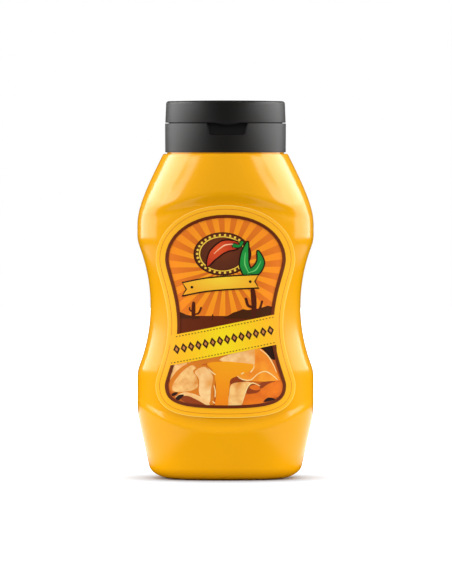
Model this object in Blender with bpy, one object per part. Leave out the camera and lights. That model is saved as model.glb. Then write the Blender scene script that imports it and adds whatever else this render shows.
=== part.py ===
"""Squeeze bottle of sauce with a shut flip-top cap and a label on its front and back.

The front of the bottle faces -Y, +X is to the viewer's right and +Z is up.  The origin
is the centre of the standing ring, on the surface that the bottle stands on.  Sizes are
named in millimetres, and each mesh is brought to metres when it becomes an object.
"""

import math

import bmesh
import bpy
from mathutils import Matrix, Vector

MM = 0.001
GAP = 0.3                      # clearance between neighbouring pieces

# Bottle, seen from the front
RIM_Z = 128.8                  # top of the shoulder, just under the cap
SHOULDER_Z = 100.5             # where the upright upper band turns into the shoulder
SHOULDER_SLOPE = 0.55
SHOULDER_ROUND = 12.0
BAND_HALF_WIDTH = 35.0
WAIST_Z = 68.5                 # height of the narrowest place of the grip
WAIST_HALF_WIDTH = 29.8
WAIST_RADIUS = 66.0
BASE_HALF_WIDTH = 29.3         # where the base's taper would meet the ground
BASE_SLOPE = 0.22
SOFTNESS = 1.0                 # how far the meetings of these outlines are rounded

# Bottle, seen from the side
HALF_DEPTH = 26.1
DOME_Z = 108.0                 # above this height the front leans back to the round rim
DOME_BEND = 0.0033
BASE_HALF_DEPTH = 23.4
BASE_DEPTH_SLOPE = 0.13
RIM_POWER = 2.0                # section is an ellipse at the rim ...
BODY_POWER = 2.6               # ... and a fuller superellipse from the shoulder down

# Label panel, set back between an arched crease above and a hanging one below
PANEL_STEP = 1.5
UPPER_CREASE_Z = 111.4
UPPER_CREASE_FALL = 8.6
UPPER_CREASE_POWER = 1.7
UPPER_CREASE_REACH = 2.4
LOWER_CREASE_Z = 20.8
LOWER_CREASE_RISE = 11.0
LOWER_CREASE_POWER = 2.2
LOWER_CREASE_REACH = 1.6

# Heel, standing ring and the shallow push-up under the bottle
HEEL_HEIGHT = 5.0
HEEL_WIDTH = 8.5
HEEL_DEPTH = 7.5
HEEL_STEPS = 5
RING_WIDTH = 5.0
PUSH_UP_HEIGHT = 1.5
PUSH_UP_WIDTH = 3.0

# Rim edge and the low collar that the cap sits over
RIM_EDGE = 0.3
COLLAR_RADIUS = 23.2
COLLAR_HEIGHT = 0.3

SEGMENTS = 56
# Stretches of the body between two heights, with the number of rings in each
STRETCHES = ((HEEL_HEIGHT, 18.0, 4), (18.0, 33.0, 10), (33.0, 101.0, 16),
             (101.0, 115.0, 9), (115.0, RIM_Z - RIM_EDGE, 4))

# Cap
CAP_TURN = math.radians(1.6)   # the cap is screwed on a little past the front
CAP_SEGMENTS = 64
CAP_RADIUS = 24.0
CAP_DRAFT = 0.06
CAP_EDGE = 0.3
CAP_BOTTOM = RIM_Z + COLLAR_HEIGHT + GAP
SEAM_Z = 141.0
LID_RADIUS = 23.9
LID_TOP_RADIUS = 23.6
LID_CORNER = 1.1
LID_EDGE_Z = 149.7
LID_TOP_Z = 150.0

# Finger notch in the skirt, under the lid's thumb lip
NOTCH_HALF_WIDTH = 8.15
NOTCH_FLOOR_HALF_WIDTH = 7.15
NOTCH_FLOOR_Z = 136.3
NOTCH_BACK_Y = -21.2
NOTCH_FLOOR_BACK_Y = -22.5
LIP_ANGLE = math.radians(13.5)
LIP_DROP = 0.8
LIP_THICKNESS = 1.5
LIP_STEPS = 10

# Hinge strap at the back
HINGE_HALF_WIDTH = 7.0
HINGE_HALF_HEIGHT = 2.6
HINGE_FLOOR_Y = 22.6
HINGE_RADIUS = 23.9
HINGE_FOLD = 0.5               # depth of the fold line across the strap

# Labels: the printed frame's outline, and how far the label reaches past it
FRAME_TOP = 104.9
FRAME_BOTTOM = 28.7
FRAME_SHOULDER = (23.3, 87.6)
FRAME_WAIST = (18.6, 61.3)
FRAME_HIP = (23.5, 37.7)
LABEL_MARGIN = 3.75
LABEL_THICKNESS = 0.35
OUTLINE_STEPS = 7              # points along each of the half outline's four curves
LABEL_CELL = 4.6               # largest facet of the label that bends round the panel


def smooth_min(first, second, reach):
    """Smaller of two lengths, rounded over where they differ by less than reach."""
    share = max(reach - abs(first - second), 0.0) / reach
    return min(first, second) - share * share * reach / 4


def smooth_step(share):
    """Ease from 0 to 1 as share goes from 0 to 1."""
    share = min(max(share, 0.0), 1.0)
    return share * share * (3 - 2 * share)


def half_width(z):
    """Half the bottle's width at height z, with the heel still square."""
    rise = max(z - SHOULDER_Z, 0.0)
    drawn_in = SHOULDER_SLOPE * (math.hypot(rise, SHOULDER_ROUND) - SHOULDER_ROUND)
    shoulder = BAND_HALF_WIDTH - drawn_in
    off_waist = min(abs(z - WAIST_Z), 0.9 * WAIST_RADIUS)
    sagitta = WAIST_RADIUS - math.sqrt(WAIST_RADIUS ** 2 - off_waist ** 2)
    grip = smooth_min(shoulder, WAIST_HALF_WIDTH + sagitta, SOFTNESS)
    return smooth_min(grip, BASE_HALF_WIDTH + BASE_SLOPE * z, SOFTNESS)


def half_depth(z):
    """Half the bottle's depth at height z, with the heel still square."""
    dome = HALF_DEPTH - DOME_BEND * max(z - DOME_Z, 0.0) ** 2
    return smooth_min(dome, BASE_HALF_DEPTH + BASE_DEPTH_SLOPE * z, SOFTNESS)


def section_power(z):
    """Power of the superellipse at height z."""
    fuller = smooth_step((RIM_Z - z) / (RIM_Z - SHOULDER_Z))
    return RIM_POWER + (BODY_POWER - RIM_POWER) * fuller


def panel_factor(x, z):
    """Factor on the depth at (x, z): 1 outside the creases, less on the set-back panel."""
    reach = abs(x) / BAND_HALF_WIDTH
    upper = UPPER_CREASE_Z - UPPER_CREASE_FALL * reach ** UPPER_CREASE_POWER
    lower = LOWER_CREASE_Z + LOWER_CREASE_RISE * reach ** LOWER_CREASE_POWER
    below_upper = smooth_step((upper - z) / (2 * UPPER_CREASE_REACH) + 0.5)
    above_lower = smooth_step((z - lower) / (2 * LOWER_CREASE_REACH) + 0.5)
    return 1 - PANEL_STEP / HALF_DEPTH * below_upper * above_lower


def front_point(x, z):
    """Point of the bottle's front at (x, z)."""
    power = section_power(z)
    share = max(1 - abs(x / half_width(z)) ** power, 0.0) ** (1 / power)
    return Vector((x, -half_depth(z) * share * panel_factor(x, z), z))


def front_normal(x, z):
    """Outward direction of the bottle's front at (x, z)."""
    step = 0.05
    across = front_point(x + step, z) - front_point(x - step, z)
    up = front_point(x, z + step) - front_point(x, z - step)
    return across.cross(up).normalized()


def section_point(angle, z, inward=(0.0, 0.0)):
    """Point of the bottle's skin at height z, drawn in by inward across and in depth."""
    power = 2 / section_power(z)
    across = math.copysign(abs(math.cos(angle)) ** power, math.cos(angle))
    along = math.copysign(abs(math.sin(angle)) ** power, math.sin(angle))
    x = (half_width(z) - inward[0]) * across
    y = (half_depth(z) - inward[1]) * along
    return Vector((x, y * panel_factor(x, z), z))


def to_linear(channel):
    """One 0-255 display colour channel as a linear value."""
    value = channel / 255
    if value <= 0.04045:
        return value / 12.92
    return ((value + 0.055) / 1.055) ** 2.4


def make_material(name, colour, roughness):
    """Principled material from a 0-255 display colour."""
    material = bpy.data.materials.new(name)
    material.use_nodes = True
    shader = material.node_tree.nodes["Principled BSDF"]
    shader.inputs["Base Color"].default_value = [to_linear(c) for c in colour] + [1.0]
    shader.inputs["Roughness"].default_value = roughness
    shader.inputs["Metallic"].default_value = 0.0
    return material


def make_object(name, bm, material=None, crease=math.radians(35)):
    """Object in metres from a mesh in millimetres, shaded smooth except at its edges."""
    bmesh.ops.remove_doubles(bm, verts=bm.verts[:], dist=0.001)
    bmesh.ops.recalc_face_normals(bm, faces=bm.faces[:])
    bmesh.ops.scale(bm, vec=(MM, MM, MM), verts=bm.verts[:])
    mesh = bpy.data.meshes.new(name)
    bm.to_mesh(mesh)
    bm.free()
    mesh.shade_smooth()
    mesh.set_sharp_from_angle(angle=crease)
    piece = bpy.data.objects.new(name, mesh)
    bpy.context.scene.collection.objects.link(piece)
    if material:
        mesh.materials.append(material)
    return piece


def make_guide(name, bm):
    """Shape that cuts or adds to another piece and isn't part of the bottle itself."""
    guide = make_object(name, bm)
    guide.hide_render = True
    guide.display_type = "WIRE"
    return guide


def combine(piece, guide, operation):
    """Cut a guide's shape out of a piece, or add it."""
    modifier = piece.modifiers.new(guide.name, "BOOLEAN")
    modifier.object = guide
    modifier.operation = operation
    modifier.solver = "EXACT"


def spread(start, end, count):
    """Heights from start up to, and without, end."""
    return [start + (end - start) * i / count for i in range(count)]


def add_ring(bm, place):
    """Closed ring of edges whose points are place(angle)."""
    ring = bmesh.ops.create_circle(bm, segments=SEGMENTS, radius=1.0)["verts"]
    for vert in ring:
        vert.co = place(math.atan2(vert.co.y, vert.co.x))
    return list({edge for vert in ring for edge in vert.link_edges})


def make_bottle():
    """Bottle filled with sauce, one solid from its push-up to the collar in the cap."""
    inner = (HEEL_WIDTH + RING_WIDTH, HEEL_DEPTH + RING_WIDTH)
    top = (inner[0] + PUSH_UP_WIDTH, inner[1] + PUSH_UP_WIDTH)
    places = [lambda a: section_point(a, 0, top) + Vector((0, 0, PUSH_UP_HEIGHT)),
              lambda a: section_point(a, 0, inner)]
    for i in range(HEEL_STEPS):
        turn = math.pi / 2 * i / HEEL_STEPS
        z = HEEL_HEIGHT * (1 - math.cos(turn))
        rest = 1 - math.sin(turn)
        inward = (HEEL_WIDTH * rest, HEEL_DEPTH * rest)
        places.append(lambda a, z=z, inward=inward: section_point(a, z, inward))
    for start, end, count in STRETCHES:
        for z in spread(start, end, count):
            places.append(lambda a, z=z: section_point(a, z))
    places.append(lambda a: section_point(a, RIM_Z - RIM_EDGE))
    places.append(lambda a: section_point(a, RIM_Z, (RIM_EDGE, RIM_EDGE)))
    for z in (RIM_Z, RIM_Z + COLLAR_HEIGHT):
        places.append(lambda a, z=z: Vector(
            (COLLAR_RADIUS * math.cos(a), COLLAR_RADIUS * math.sin(a), z)))

    bm = bmesh.new()
    rings = [add_ring(bm, place) for place in places]
    for below, above in zip(rings, rings[1:]):
        bmesh.ops.bridge_loops(bm, edges=below + above)
    for end in (rings[0], rings[-1]):
        bmesh.ops.contextual_create(bm, geom=end)
    return make_object("bottle", bm, make_material("bottle", (252, 180, 2), 0.3))


def turned(profile, segments):
    """Solid turned round the upright axis from (radius, height) points."""
    bm = bmesh.new()
    points = [bm.verts.new((radius, 0, z)) for radius, z in profile]
    edges = [bm.edges.new(pair) for pair in zip(points, points[1:])]
    bmesh.ops.spin(bm, geom=points + edges, axis=(0, 0, 1), cent=(0, 0, 0),
                   angle=2 * math.pi, steps=segments, use_merge=True)
    return bm


def make_notch():
    """Wedge that scoops the finger notch, deeper at the seam than at its floor."""
    bm = bmesh.new()
    bmesh.ops.create_cube(bm, size=2.0)
    lean = (NOTCH_HALF_WIDTH - NOTCH_FLOOR_HALF_WIDTH) / (SEAM_Z - NOTCH_FLOOR_Z)
    back = (NOTCH_BACK_Y - NOTCH_FLOOR_BACK_Y) / (SEAM_Z - NOTCH_FLOOR_Z)
    for vert in bm.verts:
        rise = (SEAM_Z + 1 - NOTCH_FLOOR_Z) * (vert.co.z + 1) / 2
        behind = NOTCH_FLOOR_BACK_Y + back * rise
        x = vert.co.x * (NOTCH_FLOOR_HALF_WIDTH + lean * rise)
        y = behind if vert.co.y > 0 else -CAP_RADIUS - 2
        vert.co = (x, y, NOTCH_FLOOR_Z + rise)
    return make_guide("notch_cutter", bm)


def make_lip():
    """Crescent under the lid's front edge, for the finger that lifts it."""
    outer = LID_RADIUS - 0.05
    bm = bmesh.new()
    corners = [(outer - LIP_THICKNESS, SEAM_Z - 1), (outer, SEAM_Z - 1),
               (outer, SEAM_Z + 1), (outer - LIP_THICKNESS, SEAM_Z + 1)]
    points = [bm.verts.new((radius, 0, z)) for radius, z in corners]
    section = bm.faces.new(points)
    bmesh.ops.rotate(bm, verts=points, cent=(0, 0, 0),
                     matrix=Matrix.Rotation(-math.pi / 2 - LIP_ANGLE, 3, "Z"))
    swept = bmesh.ops.spin(bm, geom=[section], axis=(0, 0, 1), cent=(0, 0, 0),
                           angle=2 * LIP_ANGLE, steps=LIP_STEPS)
    bmesh.ops.contextual_create(bm, geom=[g for g in swept["geom_last"]
                                          if isinstance(g, bmesh.types.BMEdge)])
    lid_bottom = SEAM_Z + GAP / 2
    for vert in bm.verts:
        if vert.co.z < SEAM_Z:
            off_front = math.atan2(vert.co.x, -vert.co.y) / LIP_ANGLE
            vert.co.z = lid_bottom + 0.1 - (LIP_DROP + 0.1) * math.cos(off_front * math.pi / 2)
    return make_guide("lip_shape", bm)


def hinge_outline(radius, floor, half_width):
    """Points of the strap's plan: an arc outside and a chord inside."""
    reach = math.asin(half_width / radius)
    arc = [reach - 2 * reach * i / 8 for i in range(9)]
    outside = [(radius * math.sin(a), radius * math.cos(a)) for a in arc]
    return outside + [(-half_width, floor), (half_width, floor)]


def extruded_plan(outline, low, high):
    """Upright prism on a plan of (x, y) points."""
    bm = bmesh.new()
    plan = bm.faces.new([bm.verts.new((x, y, low)) for x, y in outline])
    lifted = bmesh.ops.extrude_face_region(bm, geom=[plan])["geom"]
    verts = [g for g in lifted if isinstance(g, bmesh.types.BMVert)]
    bmesh.ops.translate(bm, verts=verts, vec=(0, 0, high - low))
    return bm


def make_pocket():
    """Pocket behind lid and skirt that the hinge strap lies in."""
    outline = hinge_outline(CAP_RADIUS + 2, HINGE_FLOOR_Y - GAP, HINGE_HALF_WIDTH + GAP)
    reach = HINGE_HALF_HEIGHT + GAP
    return make_guide("pocket_cutter", extruded_plan(outline, SEAM_Z - reach, SEAM_Z + reach))


def make_hinge(material):
    """Living hinge: a strap with a fold line across it at the seam."""
    outline = hinge_outline(HINGE_RADIUS, HINGE_FLOOR_Y, HINGE_HALF_WIDTH)
    low = SEAM_Z - HINGE_HALF_HEIGHT
    bm = extruded_plan(outline, low, SEAM_Z + HINGE_HALF_HEIGHT)
    for height in (SEAM_Z - HINGE_FOLD, SEAM_Z, SEAM_Z + HINGE_FOLD):
        bmesh.ops.bisect_plane(bm, geom=bm.verts[:] + bm.edges[:] + bm.faces[:],
                               plane_co=(0, 0, height), plane_no=(0, 0, 1))
    for vert in bm.verts:
        on_fold = abs(vert.co.z - SEAM_Z) < 0.01
        if on_fold and math.hypot(vert.co.x, vert.co.y) > HINGE_RADIUS - 0.1:
            vert.co.y -= HINGE_FOLD
    return make_object("cap_hinge", bm, material)


def make_cap():
    """Skirt, lid and hinge strap of the flip-top cap, on one turned empty."""
    skirt_top = SEAM_Z - GAP / 2
    lid_bottom = SEAM_Z + GAP / 2
    material = make_material("cap", (40, 38, 37), 0.45)

    skirt = make_object("cap_base", turned([
        (0, CAP_BOTTOM),
        (CAP_RADIUS - CAP_DRAFT - CAP_EDGE, CAP_BOTTOM),
        (CAP_RADIUS - CAP_DRAFT, CAP_BOTTOM + CAP_EDGE),
        (CAP_RADIUS, skirt_top - CAP_EDGE / 2),
        (CAP_RADIUS - CAP_EDGE / 2, skirt_top),
        (0, skirt_top)], CAP_SEGMENTS), material)

    corner = []
    for i in range(5):
        turn = math.pi / 2 * i / 4
        corner.append((LID_TOP_RADIUS - LID_CORNER * (1 - math.cos(turn)),
                       LID_EDGE_Z - LID_CORNER * (1 - math.sin(turn))))
    lid = make_object("cap_lid", turned([
        (0, lid_bottom),
        (LID_RADIUS - CAP_EDGE / 2, lid_bottom),
        (LID_RADIUS, lid_bottom + CAP_EDGE / 2),
        *corner,
        (LID_TOP_RADIUS / 2, LID_EDGE_Z + 0.75 * (LID_TOP_Z - LID_EDGE_Z)),
        (0, LID_TOP_Z)], CAP_SEGMENTS), material)

    hinge = make_hinge(material)
    notch = make_notch()
    lip = make_lip()
    pocket = make_pocket()
    combine(skirt, notch, "DIFFERENCE")
    combine(skirt, pocket, "DIFFERENCE")
    combine(lid, pocket, "DIFFERENCE")
    combine(lid, lip, "UNION")

    cap = bpy.data.objects.new("cap", None)
    bpy.context.scene.collection.objects.link(cap)
    cap.rotation_euler = (0, 0, CAP_TURN)
    for piece in (skirt, lid, hinge, notch, lip, pocket):
        piece.parent = cap


def curve_points(start, start_pull, end_pull, end, count):
    """Points of one cubic curve, without its last."""
    points = []
    for i in range(count):
        t = i / count
        point = ((1 - t) ** 3 * Vector(start) + 3 * (1 - t) ** 2 * t * Vector(start_pull)
                 + 3 * (1 - t) * t ** 2 * Vector(end_pull) + t ** 3 * Vector(end))
        points.append(point)
    return points


def half_outline():
    """Right half of the frame's outline, from its crown down to its foot."""
    crown = (0.0, FRAME_TOP)
    foot = (0.0, FRAME_BOTTOM)
    shoulder_x, shoulder_z = FRAME_SHOULDER
    waist_x, waist_z = FRAME_WAIST
    hip_x, hip_z = FRAME_HIP
    pulls = (
        (crown, (14.0, FRAME_TOP), (shoulder_x, shoulder_z + 9.2), FRAME_SHOULDER),
        (FRAME_SHOULDER, (shoulder_x, shoulder_z - 4.9), (waist_x, waist_z + 12.5), FRAME_WAIST),
        (FRAME_WAIST, (waist_x, waist_z - 11.3), (hip_x, hip_z + 2.7), FRAME_HIP),
        (FRAME_HIP, (hip_x, hip_z - 6.9), (18.8, FRAME_BOTTOM), foot),
    )
    points = []
    for pull in pulls:
        points += curve_points(*pull, OUTLINE_STEPS)
    return points + [Vector(foot)]


def label_outline():
    """Closed outline of the label: the frame's, moved out by the label's margin."""
    right = half_outline()
    mirrored = [Vector((-p.x, p.y)) for p in reversed(right[1:-1])]
    loop = right + mirrored
    outline = []
    for i, point in enumerate(loop):
        along = loop[(i + 1) % len(loop)] - loop[i - 1]
        outward = Vector((-along.y, along.x)).normalized()
        outline.append(point + LABEL_MARGIN * outward)
    return outline


def make_label(name, turn):
    """Label bent onto the panel; turn is half a circle for the one on the back."""
    outline = label_outline()
    bm = bmesh.new()
    face = bm.faces.new([bm.verts.new((p.x, 0, p.y)) for p in outline])
    reach = max(p.x for p in outline)
    low = min(p.y for p in outline)
    high = max(p.y for p in outline)
    cuts = [((x, 0, 0), (1, 0, 0)) for x in spread(-reach, reach, round(2 * reach / LABEL_CELL))]
    cuts += [((0, 0, z), (0, 0, 1)) for z in spread(low, high, round((high - low) / LABEL_CELL))]
    for place, normal in cuts:
        bmesh.ops.bisect_plane(bm, geom=bm.verts[:] + bm.edges[:] + bm.faces[:],
                               plane_co=place, plane_no=normal)
    lifted = bmesh.ops.extrude_face_region(bm, geom=bm.faces[:])["geom"]
    verts = [g for g in lifted if isinstance(g, bmesh.types.BMVert)]
    bmesh.ops.translate(bm, verts=verts, vec=(0, LABEL_THICKNESS, 0))
    for vert in bm.verts:
        x, lift, z = vert.co
        vert.co = front_point(x, z) + front_normal(x, z) * (GAP + lift)
    bmesh.ops.rotate(bm, verts=bm.verts[:], cent=(0, 0, 0),
                     matrix=Matrix.Rotation(turn, 3, "Z"))
    make_object(name, bm, make_material(name, (250, 178, 5), 0.35))


def main():
    for old in list(bpy.data.objects):
        bpy.data.objects.remove(old, do_unlink=True)
    make_bottle()
    make_cap()
    make_label("label_front", 0.0)
    make_label("label_back", math.pi)


main()
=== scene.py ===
# %% [markdown]
# # A squeeze bottle of sauce
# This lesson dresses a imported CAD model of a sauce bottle.  The model gives the true
# sizes and places: a waisted bottle, a flip-top cap in three pieces and two labels.  Each
# of them is made again here as a fine mesh, and the label gets its print.  The front of
# the bottle faces -Y, +Z is up, and all shapes are worked out in millimetres.

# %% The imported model
import math

import bmesh
import bpy
from mathutils import Matrix, Vector


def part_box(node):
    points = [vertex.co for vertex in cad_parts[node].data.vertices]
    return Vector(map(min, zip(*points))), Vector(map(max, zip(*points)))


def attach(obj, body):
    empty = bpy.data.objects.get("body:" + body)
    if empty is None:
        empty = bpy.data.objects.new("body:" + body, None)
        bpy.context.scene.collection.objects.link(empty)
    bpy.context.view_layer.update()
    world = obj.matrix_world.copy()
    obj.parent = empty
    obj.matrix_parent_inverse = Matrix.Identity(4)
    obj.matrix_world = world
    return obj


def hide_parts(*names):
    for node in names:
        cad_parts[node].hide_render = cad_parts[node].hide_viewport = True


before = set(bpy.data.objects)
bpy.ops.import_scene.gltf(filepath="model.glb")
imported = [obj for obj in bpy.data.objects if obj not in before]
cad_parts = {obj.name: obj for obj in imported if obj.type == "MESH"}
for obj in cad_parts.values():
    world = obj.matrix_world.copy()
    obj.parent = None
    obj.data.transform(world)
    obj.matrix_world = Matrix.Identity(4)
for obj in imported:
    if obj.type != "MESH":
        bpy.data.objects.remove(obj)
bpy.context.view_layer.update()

MM = 0.001


def box_mm(node):
    """Lowest and highest corner of a node of the model, in millimetres."""
    low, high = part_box(node)
    return Vector(low) / MM, Vector(high) / MM


bottle_low, bottle_high = box_mm("bottle")
skirt_low, skirt_high = box_mm("cap_base")
lid_low, lid_high = box_mm("cap_lid")
print("bottle to", tuple(round(v, 2) for v in bottle_high), "lid top", round(lid_high.z, 2))

# %% [markdown]
# ## Colours and shader boards
# A colour is written as it looks on a screen, from 0 to 255, and turned into the linear
# light that shaders work in.  Shader maths gets hard to read as loose nodes, so a small
# class wraps a socket: sums written with it add their Math nodes by themselves.

# %% Colours and sums of sockets
SATIN_IOR = 1.35


def linear(channel):
    """Linear value of one 0 to 255 screen colour channel."""
    value = channel / 255
    if value <= 0.04045:
        return value / 12.92
    return ((value + 0.055) / 1.055) ** 2.4


def paint(red, green, blue):
    """Linear colour with alpha from a screen colour."""
    return (linear(red), linear(green), linear(blue), 1.0)


class Wire:
    """An output socket that can be written in sums."""

    def __init__(self, board, socket):
        self.board = board
        self.socket = socket

    def maths(self, operation, *values, clamp=False):
        settings = {"operation": operation, "use_clamp": clamp}
        return self.board.node("ShaderNodeMath", settings, dict(enumerate(values)))

    def __add__(self, other):
        return self.maths("ADD", self, other)

    def __sub__(self, other):
        return self.maths("SUBTRACT", self, other)

    def __rsub__(self, other):
        return self.maths("SUBTRACT", other, self)

    def __mul__(self, other):
        return self.maths("MULTIPLY", self, other)

    def __truediv__(self, other):
        return self.maths("DIVIDE", self, other)

    def __pow__(self, other):
        return self.maths("POWER", self, other)

    def __abs__(self):
        return self.maths("ABSOLUTE", self)

    def clamped(self):
        return self.maths("ADD", self, 0.0, clamp=True)

    __radd__ = __add__
    __rmul__ = __mul__


class Board:
    """The shader nodes of one material or of the world."""

    def __init__(self, owner):
        owner.use_nodes = True
        self.tree = owner.node_tree
        self.tree.nodes.clear()

    def node(self, kind, settings=None, values=None, output=0):
        """Add a node: its settings first, then the values or links of its sockets."""
        made = self.tree.nodes.new(kind)
        for name, value in (settings or {}).items():
            setattr(made, name, value)
        for name, value in (values or {}).items():
            if isinstance(value, Wire):
                self.tree.links.new(value.socket, made.inputs[name])
            else:
                made.inputs[name].default_value = value
        return Wire(self, made.outputs[output] if made.outputs else None)

    def place(self):
        """X, Y and Z of the point being shaded, in millimetres."""
        spot = self.node("ShaderNodeTexCoord", output="Object")
        grown = self.node("ShaderNodeVectorMath", {"operation": "SCALE"},
                          {0: spot, "Scale": 1 / MM})
        return grown, [self.node("ShaderNodeSeparateXYZ", None, {0: grown}, axis)
                       for axis in "XYZ"]

    def noise(self, where, size, detail=2.0):
        """Soft noise from 0 to 1 with features of about size millimetres."""
        return self.node("ShaderNodeTexNoise", None,
                         {"Vector": where, "Scale": 1 / size, "Detail": detail}, "Fac")

    def blend(self, share, first, second):
        """Colour that goes from first to second as share goes from 0 to 1."""
        return self.node("ShaderNodeMix", {"data_type": "RGBA"},
                         {0: share, 6: first, 7: second}, 2)

    def rays(self):
        """Whether a ray comes from the camera, off gloss or through something clear."""
        return [self.node("ShaderNodeLightPath", output="Is %s Ray" % kind)
                for kind in ("Camera", "Glossy", "Transmission")]

    def surface(self, colour, roughness, normal=None):
        """Principled shader, joined to the output."""
        values = {"Base Color": colour, "Roughness": roughness, "IOR": SATIN_IOR}
        if normal:
            values["Normal"] = normal
        shader = self.node("ShaderNodeBsdfPrincipled", None, values)
        self.node("ShaderNodeOutputMaterial", None, {"Surface": shader})


def new_board(name):
    """A material and its empty board."""
    material = bpy.data.materials.new(name)
    return material, Board(material)


print("board ready")

# %% [markdown]
# ## Blown plastic full of sauce
# The bottle is blown from a thin natural plastic, and the yellow sauce behind it gives
# it its colour.  One even colour would look like paint, so a slow cloud of a deeper
# yellow goes through it.  The gloss is soft: the mould leaves a faint orange peel, made
# here as a very low bump.  Where the two mould halves met, a fine raised line runs up
# both sides and across the underside.

# %% Finish of the bottle
SAUCE_YELLOW = paint(242, 170, 0)
SAUCE_DEEP = paint(238, 165, 0)


def bottle_finish():
    material, board = new_board("blown_yellow_plastic")
    where, (_, y, _) = board.place()
    cloud = board.noise(where, 28.0)
    colour = board.blend(cloud, SAUCE_YELLOW, SAUCE_DEEP)
    gloss = 0.15 + board.noise(where, 9.0) * 0.05
    parting = (1 - abs(y) / 0.16).clamped()
    peel = board.noise(where, 1.3, 1.0) * 0.004
    bump = board.node("ShaderNodeBump", None, {
        "Height": parting * 0.06 + peel, "Strength": 0.6, "Distance": MM})
    board.surface(colour, gloss, bump)
    return material


# %% [markdown]
# ## Moulded black plastic
# The cap is injection moulded with a fine spark-eroded grain, which makes it satin: its
# highlights are broad and grey.  A grain far finer than a millimetre goes in the bump,
# and the roughness drifts a little, as it does where hands have polished it.

# %% Finish of the cap
CAP_BLACK = paint(17, 15, 13)
CAP_RUBBED = paint(22, 20, 18)


def cap_finish():
    material, board = new_board("satin_black_plastic")
    where, _ = board.place()
    rubbed = board.noise(where, 14.0, 3.0)
    colour = board.blend(rubbed, CAP_BLACK, CAP_RUBBED)
    gloss = 0.44 + rubbed * 0.08
    grain = board.noise(where, 0.35, 2.0)
    bump = board.node("ShaderNodeBump", None, {
        "Height": grain * 0.006, "Strength": 0.5, "Distance": MM})
    board.surface(colour, gloss, bump)
    return material


# %% [markdown]
# ## Inks
# The labels are printed film.  A printed colour is flat but not dead: the ink lies a
# little thicker here and there, so each ink drifts between its colour and a slightly
# darker one.  Some inks run from one colour to another over a distance, along a line or
# out from a point, as a printer's vignette does.

# %% Finish of the inks


def darker(colour, share):
    """The same colour with less light."""
    return tuple(c * share for c in colour[:3]) + (1.0,)


def ink(name, colour, gloss=0.27, drift=0.94):
    """One flat ink."""
    material, board = new_board(name)
    where, _ = board.place()
    lay_down = board.noise(where, 3.0)
    mixed = board.blend(lay_down, colour, darker(colour, drift))
    board.surface(mixed, gloss + board.noise(where, 6.0) * 0.05)
    return material


def vignette(name, centre, radius, inner, outer, gloss=0.36, across=(1.0, 1.0)):
    """Ink that runs from inner to outer over radius from a centre; across stretches it."""
    material, board = new_board(name)
    where, (x, _, z) = board.place()
    off_x = (x - centre[0]) * across[0]
    off_z = (z - centre[1]) * across[1]
    reach = ((off_x * off_x + off_z * off_z) ** 0.5 / radius).clamped()
    drift = 0.05 * board.noise(where, 3.0)
    mixed = board.blend((reach + drift).clamped(), inner, outer)
    board.surface(mixed, gloss + board.noise(where, 6.0) * 0.05)
    return material


def toasted(name, pale, brown, size=1.6):
    """Picture of a fried corn chip: pale dough with blisters browned at their rims."""
    material, board = new_board(name)
    where, _ = board.place()
    patches = board.noise(where, size * 2.5, 3.0)
    blisters = board.node("ShaderNodeTexVoronoi", {"feature": "SMOOTH_F1"},
                          {"Vector": where, "Scale": 1 / size}, "Distance")
    share = (patches * 2.4 + blisters * 0.6 - 1.05).clamped()
    board.surface(board.blend(share, pale, brown), 0.38)
    return material


print("finishes ready")

# %% [markdown]
# ## The shape of the bottle as formulas
# The bottle is a stack of superellipses.  Its width follows an upright band, a shoulder,
# a waist on one arc for the hand and a tapered base; where two of these meet, the
# smaller wins and the meeting is rounded.  Its front and back are set back between an
# arched crease and a hanging one, which makes the panel for the label.  These are the
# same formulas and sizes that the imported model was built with, at a finer step.

# %% Driving sizes of the bottle
COLLAR_HEIGHT = 0.3
RIM_Z = bottle_high.z - COLLAR_HEIGHT
SHOULDER_Z, SHOULDER_SLOPE, SHOULDER_ROUND = 100.5, 0.55, 12.0
BAND_HALF_WIDTH = bottle_high.x
WAIST_Z, WAIST_HALF_WIDTH, WAIST_RADIUS = 68.5, 29.8, 66.0
BASE_HALF_WIDTH, BASE_SLOPE = 29.3, 0.22
HALF_DEPTH, DOME_Z, DOME_BEND = 26.1, 108.0, 0.0033
BASE_HALF_DEPTH, BASE_DEPTH_SLOPE = 23.4, 0.13
RIM_POWER, BODY_POWER = 2.0, 2.6
SOFTNESS = 1.0
PANEL_STEP = 1.5
UPPER_CREASE = {"z": 111.4, "rise": -8.6, "power": 1.7, "reach": 2.4}
LOWER_CREASE = {"z": 20.8, "rise": 11.0, "power": 2.2, "reach": 1.6}

# %% Formulas of the bottle


def smooth_min(first, second, reach):
    """Smaller of two lengths, rounded over where they differ by less than reach."""
    share = max(reach - abs(first - second), 0.0) / reach
    return min(first, second) - share * share * reach / 4


def smooth_step(share):
    """Ease from 0 to 1 as share goes from 0 to 1."""
    share = min(max(share, 0.0), 1.0)
    return share * share * (3 - 2 * share)


def half_width(z):
    """Half the bottle's width at height z, with the heel still square."""
    rise = max(z - SHOULDER_Z, 0.0)
    drawn_in = SHOULDER_SLOPE * (math.hypot(rise, SHOULDER_ROUND) - SHOULDER_ROUND)
    shoulder = BAND_HALF_WIDTH - drawn_in
    off_waist = min(abs(z - WAIST_Z), 0.9 * WAIST_RADIUS)
    sagitta = WAIST_RADIUS - math.sqrt(WAIST_RADIUS ** 2 - off_waist ** 2)
    grip = smooth_min(shoulder, WAIST_HALF_WIDTH + sagitta, SOFTNESS)
    return smooth_min(grip, BASE_HALF_WIDTH + BASE_SLOPE * z, SOFTNESS)


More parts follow.
